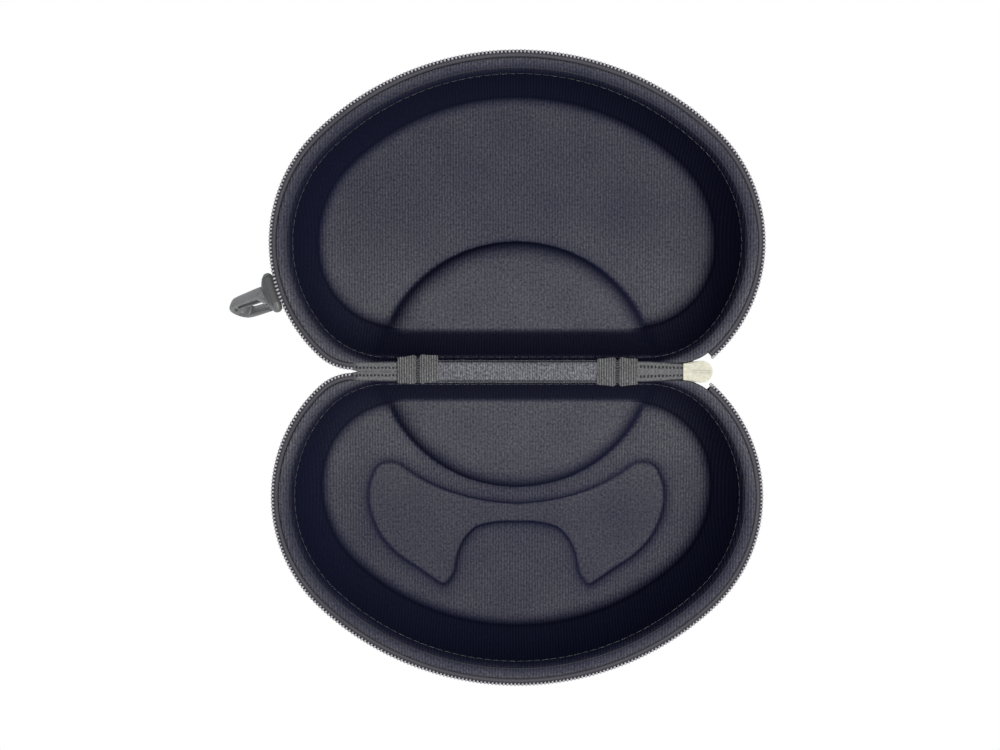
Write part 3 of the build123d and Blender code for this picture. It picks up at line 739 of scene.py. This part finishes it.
def make_tab(label, centre_x, centre_v, skew):
    """Ribbon tab gathered by the tack across its middle: two ribbed lobes with a notch above and below."""
    half_x, half_v = 8.15, 5.7
    x = np.linspace(-half_x, half_x, 150)
    v = np.linspace(-1, 1, 41)
    xx, ww = np.meshgrid(x, v)
    pinch = np.exp(-(xx / 0.9) ** 2)
    end = 1 - 0.06 * smoothstep((np.abs(xx) - half_x + 1.2) / 1.2)
    reach = (half_v + 0.35 * np.cos(xx * 0.5)) * end * (1 - 0.24 * pinch)
    yy = ww * reach + skew * xx
    rib = 0.13 * np.cos(2 * pi * xx / 1.0)
    bulge = 0.75 * np.clip(1 - (ww * 0.98) ** 4, 0, 1) ** 0.5
    lobes = 0.45 * np.sin(np.clip(np.abs(xx) / half_x, 0, 1) * pi) ** 0.6
    z = RIM + 0.25 + bulge + lobes - 0.75 * pinch + rib * (1 - pinch)
    xyz = np.stack([centre_x + xx, HINGE_Y + centre_v + yy, z], -1) * 0.001
    shade = (1.0 + 0.5 * rib / 0.13 * 0.6) * (1 - 0.6 * pinch)
    obj = grid(label + "_tab_ribbon", xyz, mat_tab, uv=np.stack([xx, yy], -1), shade=shade)
    modifier(obj, "SOLIDIFY", thickness=0.0009, offset=-1)
    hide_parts(label + "_end_tab")
    across_hinge(obj)

    verts, faces = [], []
    for i in range(9):
        at = -3.9 + 7.8 * i / 8 + rng.normal(0, 0.1)
        for k in range(6):
            across = -0.75 + 1.5 * k / 5
            for a in np.linspace(0, 2 * pi, 6, endpoint=False):
                verts.append((
                    centre_x + across + 0.12 * rng.normal(),
                    HINGE_Y + centre_v + at + 0.22 * sin(a) + 0.25 * across,
                    RIM + 0.95 + 0.18 * sin(pi * k / 5) + 0.2 * cos(a),
                ))
        faces += (grid_faces(6, 6, True, False) + i * 36).tolist()
    tack = new_mesh(label + "_tab_tack", np.array(verts) * 0.001, faces, mat_thread)
    set_uv(tack, np.array(verts)[:, :2])
    set_number(tack, np.full(len(verts), 0.5), "shade")
    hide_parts(label + "_tab_stitch")
    across_hinge(tack)


# ---- slider --------------------------------------------------------------------------------------
def make_slider():
    """Inner plate of the slider: narrow rear, round shoulders and a blunt nose, slightly crowned."""
    s = np.linspace(0, 1, 45)
    x = SLIDER_X - 0.1 + s * SLIDER_LEN
    rear, front = 3.35, 4.45
    half = rear + (front - rear) * smoothstep((s + 0.1) / 0.72)
    half *= np.clip(1 - np.clip((s - 0.6) / 0.4, 0, 1) ** 2.1, 0.0, 1) ** 0.6
    half = np.maximum(half, 1.3)
    half[0] = rear - 0.35
    w = np.linspace(-1, 1, 25)
    ww, xx = np.meshgrid(w, x)
    yy = ww * half[:, None]
    crown = 0.28 * (1 - ww ** 4) + 0.16 * np.exp(-(yy / 0.5) ** 2) * smoothstep((xx - SLIDER_X - 2) / 3)
    top = RIM + 0.72 + crown - 0.25 * smoothstep((s[:, None] - 0.86) / 0.14)
    xyz = np.stack([xx, HINGE_Y + yy, top], -1) * 0.001
    obj = grid("slider_inner_plate", xyz, mat_slider, flip=True)
    modifier(obj, "SOLIDIFY", thickness=0.0010, offset=-1)
    modifier(obj, "BEVEL", width=0.00025, segments=2, limit_method="ANGLE")
    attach(obj, "slider")


# ---- webbing -------------------------------------------------------------------------------------
BAR_X, BAR_V, BAR_Z = -99.8, 32.2, 37.0
BAR = np.array([BAR_X, HINGE_Y + BAR_V, BAR_Z])
OUT = np.array([BAR_X + SIDE_CX, BAR_V - SIDE_CV, 0.0])
OUT /= np.linalg.norm(OUT)
ALONG = np.array([-OUT[1], OUT[0], 0.0])


def make_webbing():
    """Woven loop: two legs from the shell wall meeting round the bar."""
    radius, back = 2.55, -6.1
    path = [(back, 0.75), (-3.2, 1.65)]
    path += [(radius * sin(a), radius * cos(a)) for a in np.linspace(-0.35, pi + 0.35, 22)]
    path += [(-3.2, -1.65), (back, -0.75)]
    path = np.array(path)
    w = np.linspace(-6.6, 4.5, 12)
    along = np.concatenate([[0], np.cumsum(np.hypot(*np.diff(path, axis=0).T))])
    legs = [BAR + p[0] * OUT + np.array([0, 0, p[1]]) for p in path]
    xyz = np.stack([[leg + k * ALONG for k in w] for leg in legs]) * 0.001
    uv = np.stack(np.broadcast_arrays(w[None, :], along[:, None]), -1)
    obj = grid("hook_webbing_loop", xyz, mat_web, uv=uv, shade=np.ones(xyz.shape[:2]))
    modifier(obj, "SOLIDIFY", thickness=0.0010, offset=0)
    modifier(obj, "SUBSURF", levels=1, render_levels=1)
    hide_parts("hook_webbing")
    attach(obj, "case_back")


# ---- hook ----------------------------------------------------------------------------------------
HANG, TURN = radians(55.0), radians(47.0)
HOOK_DIR = OUT * cos(HANG) - np.array([0, 0, sin(HANG)])
BASE_NORMAL = np.cross(HOOK_DIR, ALONG)
HOOK_NORMAL = BASE_NORMAL * cos(TURN) + ALONG * sin(TURN)
HOOK_ACROSS = np.cross(HOOK_NORMAL, HOOK_DIR)


def smooth_path(points, closed=False, per=6):
    """Catmull-Rom curve through points in a plane."""
    p = np.array(points, float)
    if closed:
        p = np.concatenate([p[-1:], p, p[:2]])
    else:
        p = np.concatenate([2 * p[:1] - p[1:2], p, 2 * p[-1:] - p[-2:-1]])
    t = np.linspace(0, 1, per, endpoint=False)[:, None]
    out = []
    for a, b, c, d in zip(p, p[1:], p[2:], p[3:]):
        square, cube = 2 * a - 5 * b + 4 * c - d, 3 * b - a - 3 * c + d
        out.append(0.5 * (2 * b + (c - a) * t + square * t ** 2 + cube * t ** 3))
    out = np.concatenate(out)
    return out if closed else np.concatenate([out, p[-2:-1]])


def rail(points, half_w, half_t, closed=False, around=16, power=3.0):
    """Rounded bar along a path in the hook's plane: points as (along hook, across, through), and faces."""
    path = smooth_path(points, closed)
    tangent = np.gradient(path, axis=0)
    if closed:
        tangent = np.roll(path, -1, 0) - np.roll(path, 1, 0)
    tangent /= np.linalg.norm(tangent, axis=1)[:, None]
    side = np.stack([-tangent[:, 1], tangent[:, 0]], 1)
    a = np.linspace(0, 2 * pi, around, endpoint=False)
    ca, sa = np.cos(a), np.sin(a)
    cw = np.sign(ca) * np.abs(ca) ** (2 / power)
    ct = np.sign(sa) * np.abs(sa) ** (2 / power)
    width = np.interp(np.linspace(0, 1, len(path)), np.linspace(0, 1, len(half_w)), half_w)
    xy = path[:, None] + side[:, None] * (width[:, None] * cw)[..., None]
    z = np.broadcast_to(half_t * ct, xy.shape[:2])
    verts = np.concatenate([xy, z[..., None]], -1)
    if closed:
        verts = np.concatenate([verts, verts[:1]])
    rows = len(verts)
    faces = grid_faces(rows, around, True, False).tolist()
    if not closed:
        faces += [list(range(around))[::-1], list(range((rows - 1) * around, rows * around))]
    return verts.reshape(-1, 3), faces


def plate(points, half_t, bevel):
    """Flat plate with softened edges on a closed outline."""
    p = np.array(points, float)
    ahead, behind = np.roll(p, -1, 0) - p, p - np.roll(p, 1, 0)
    n1 = np.stack([ahead[:, 1], -ahead[:, 0]], 1) / np.linalg.norm(ahead, axis=1)[:, None]
    n2 = np.stack([behind[:, 1], -behind[:, 0]], 1) / np.linalg.norm(behind, axis=1)[:, None]
    mitre = n1 + n2
    mitre /= np.maximum(np.sum(mitre * n1, 1), 0.5)[:, None]
    turn = np.sign(np.sum(p[:, 0] * np.roll(p[:, 1], -1) - np.roll(p[:, 0], -1) * p[:, 1]))
    inner = p - turn * bevel * mitre
    rows = [(inner, -half_t), (p, -half_t + bevel), (p, half_t - bevel), (inner, half_t)]
    verts = np.concatenate([np.concatenate([q, np.full((len(q), 1), z)], 1) for q, z in rows])
    faces = grid_faces(4, len(p), True, turn < 0).tolist()
    low, high = list(range(len(p))), list(range(3 * len(p), 4 * len(p)))
    faces += [low[::-1], high] if turn > 0 else [low, high[::-1]]
    return verts, faces


def join_forms(name, forms, across, normal, material):
    """One mesh from several forms given as (along hook, across, through) in millimetres from the bar."""
    verts, faces = [], []
    for v, f in forms:
        faces += [[k + sum(map(len, verts)) for k in face] for face in f]
        verts.append(v)
    local = np.concatenate(verts)
    world = BAR + local[:, :1] * HOOK_DIR + local[:, 1:2] * across + local[:, 2:] * normal
    return new_mesh(name, world * 0.001, faces, material)


def make_hook():
    """Moulded snap hook: back rail round to the beak, sunk web, thin inner rib and pockets in the nose."""
    back_rail = [
        (6.4, -2.1), (14, -1.9), (24, -1.4), (33, -0.9), (38.0, 0.0), (40.3, 2.3), (39.6, 5.2),
        (36.8, 7.2), (32, 7.9), (24, 8.0), (15.2, 7.95),
    ]
    inner_rib = [(10.5, 1.5), (20, 1.55), (33.2, 1.5), (36.3, 3.2), (35.6, 5.4), (33.2, 6.6)]
    web = [
        (7, -2.2), (37.5, -0.6), (40.2, 2.4), (39, 5.6), (35, 7.4), (33, 6.8), (36.6, 4.2), (33.6, 1.7),
        (7, 1.7),
    ]
    knuckle = [
        (6.2, -3.0), (9.0, -3.1), (12.4, -2.6), (12.4, 1.8), (10.8, 3.2), (10.7, 6.2), (9.0, 7.4),
        (7.6, 7.1), (6.2, 5.6),
    ]
    forms = [
        rail(back_rail, [1.0, 1.15, 1.1, 1.15, 1.3, 1.5, 1.5, 1.35, 1.15, 1.05, 0.95], 2.5),
        rail(inner_rib, [0.45, 0.45, 0.5, 0.5], 2.3),
        plate(web, 1.0, 0.3),
        plate(knuckle, 2.5, 0.7),
    ]
    for u0, w0, u1, w1 in ((36.4, 3.4, 39.6, 2.4), (35.9, 5.3, 38.8, 5.6), (34.2, 1.9, 35.4, -0.4)):
        forms.append(rail([(u0, w0), ((u0 + u1) / 2, (w0 + w1) / 2), (u1, w1)], [0.4, 0.4], 2.2))
    body = join_forms("hook_moulding", forms, HOOK_ACROSS, HOOK_NORMAL, mat_hook)
    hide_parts("hook_body")
    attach(body, "hook")

    loop = [
        (0, -5.4), (0, 0), (0, 6.0), (0.5, 7.0), (1.7, 7.0), (4.4, 4.9), (5.2, 3.2), (5.3, 0),
        (5.2, -2.8), (4.4, -4.3), (1.7, -6.3), (0.5, -6.3),
    ]
    neck = [(5.0, 0), (7, 0), (9.2, 0)]
    forms = [rail(loop, [1.55, 1.55], 1.6, closed=True, power=2.4), rail(neck, [1.3, 1.3], 1.3)]
    ring = join_forms("hook_ring", forms, ALONG, BASE_NORMAL, mat_hook)
    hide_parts("hook_base")
    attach(ring, "hook_ring")


# ---- carried-over CAD pieces ---------------------------------------------------------------------
def dress(node, material):
    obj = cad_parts[node]
    obj.data.materials.clear()
    obj.data.materials.append(material)


# ---- stage ---------------------------------------------------------------------------------------
def make_stage():
    size = 12.0
    corners = [(-size, -size, 0), (size, -size, 0), (size, size, 0), (-size, size, 0)]
    floor = new_mesh("floor", corners, [(0, 1, 2, 3)], None, smooth=False)
    material = bpy.data.materials.new("floor_white")
    material.use_nodes = True
    tree = material.node_tree
    tree.nodes.clear()
    out = tree.nodes.new("ShaderNodeOutputMaterial")
    glow = tree.nodes.new("ShaderNodeEmission")
    glow.inputs["Color"].default_value = (1.0, 1.0, 1.0, 1)
    tree.links.new(glow.outputs[0], out.inputs[0])
    floor.data.materials.append(material)
    floor.location.z = -0.0004

    world = bpy.data.worlds.new("studio")
    bpy.context.scene.world = world
    world.use_nodes = True
    sky = world.node_tree.nodes["Background"]
    sky.inputs["Color"].default_value = (0.35, 0.52, 1.0, 1)
    sky.inputs["Strength"].default_value = 0.16

    def light(name, place_at, target, size_m, watts, colour):
        data = bpy.data.lights.new(name, "AREA")
        data.shape = "DISK"
        data.size = size_m
        data.energy = watts
        data.color = colour
        obj = bpy.data.objects.new(name, data)
        obj.location = place_at
        obj.rotation_euler = (Vector(target) - Vector(place_at)).to_track_quat("-Z", "Y").to_euler()
        bpy.context.collection.objects.link(obj)

    middle = (0.0, HINGE_Y * 0.001, RIM * 0.001)
    light("key", (0.3, -0.2, 1.35), middle, 0.9, 22.0, (1.0, 0.99, 0.97))
    bpy.context.scene.view_settings.view_transform = "Standard"

    data = bpy.data.cameras.new("camera")
    data.lens = 71.1
    data.sensor_width = 36.0
    camera = bpy.data.objects.new("camera", data)
    stand = Vector((-0.0036, (HINGE_Y + 58.0) * 0.001, (RIM + 800.0) * 0.001))
    look = Vector((-0.0069, (HINGE_Y - 1.4) * 0.001, RIM * 0.001))
    camera.location = stand
    camera.rotation_euler = Vector((0, 0, -1)).rotation_difference(look - stand).to_euler()
    bpy.context.collection.objects.link(camera)
    bpy.context.scene.camera = camera


for side, label, body in SHELLS:
    make_lining(side, label, body)
    make_cover(side, label, body)
    make_tape(side, label, body)
    make_teeth(side, label, body)
    make_tail(side, label, body)
    make_stitch_line(side, label, body)
    dress(label + "_foam", mat_foam)

make_chain()
make_strip()
make_tab("left", -40.3, 1.0, 0.06)
make_tab("right", 40.7, 0.0, 0.0)
make_slider()
make_webbing()
make_hook()
dress("hinge_web", mat_foam)
dress("hook_gate", mat_hook)
for node in ("hook_gate_pin", "hook_gate_spring"):
    dress(node, mat_steel)
for node in ("slider_body", "slider_bail", "pull_tab"):
    dress(node, mat_slider)
make_stage()
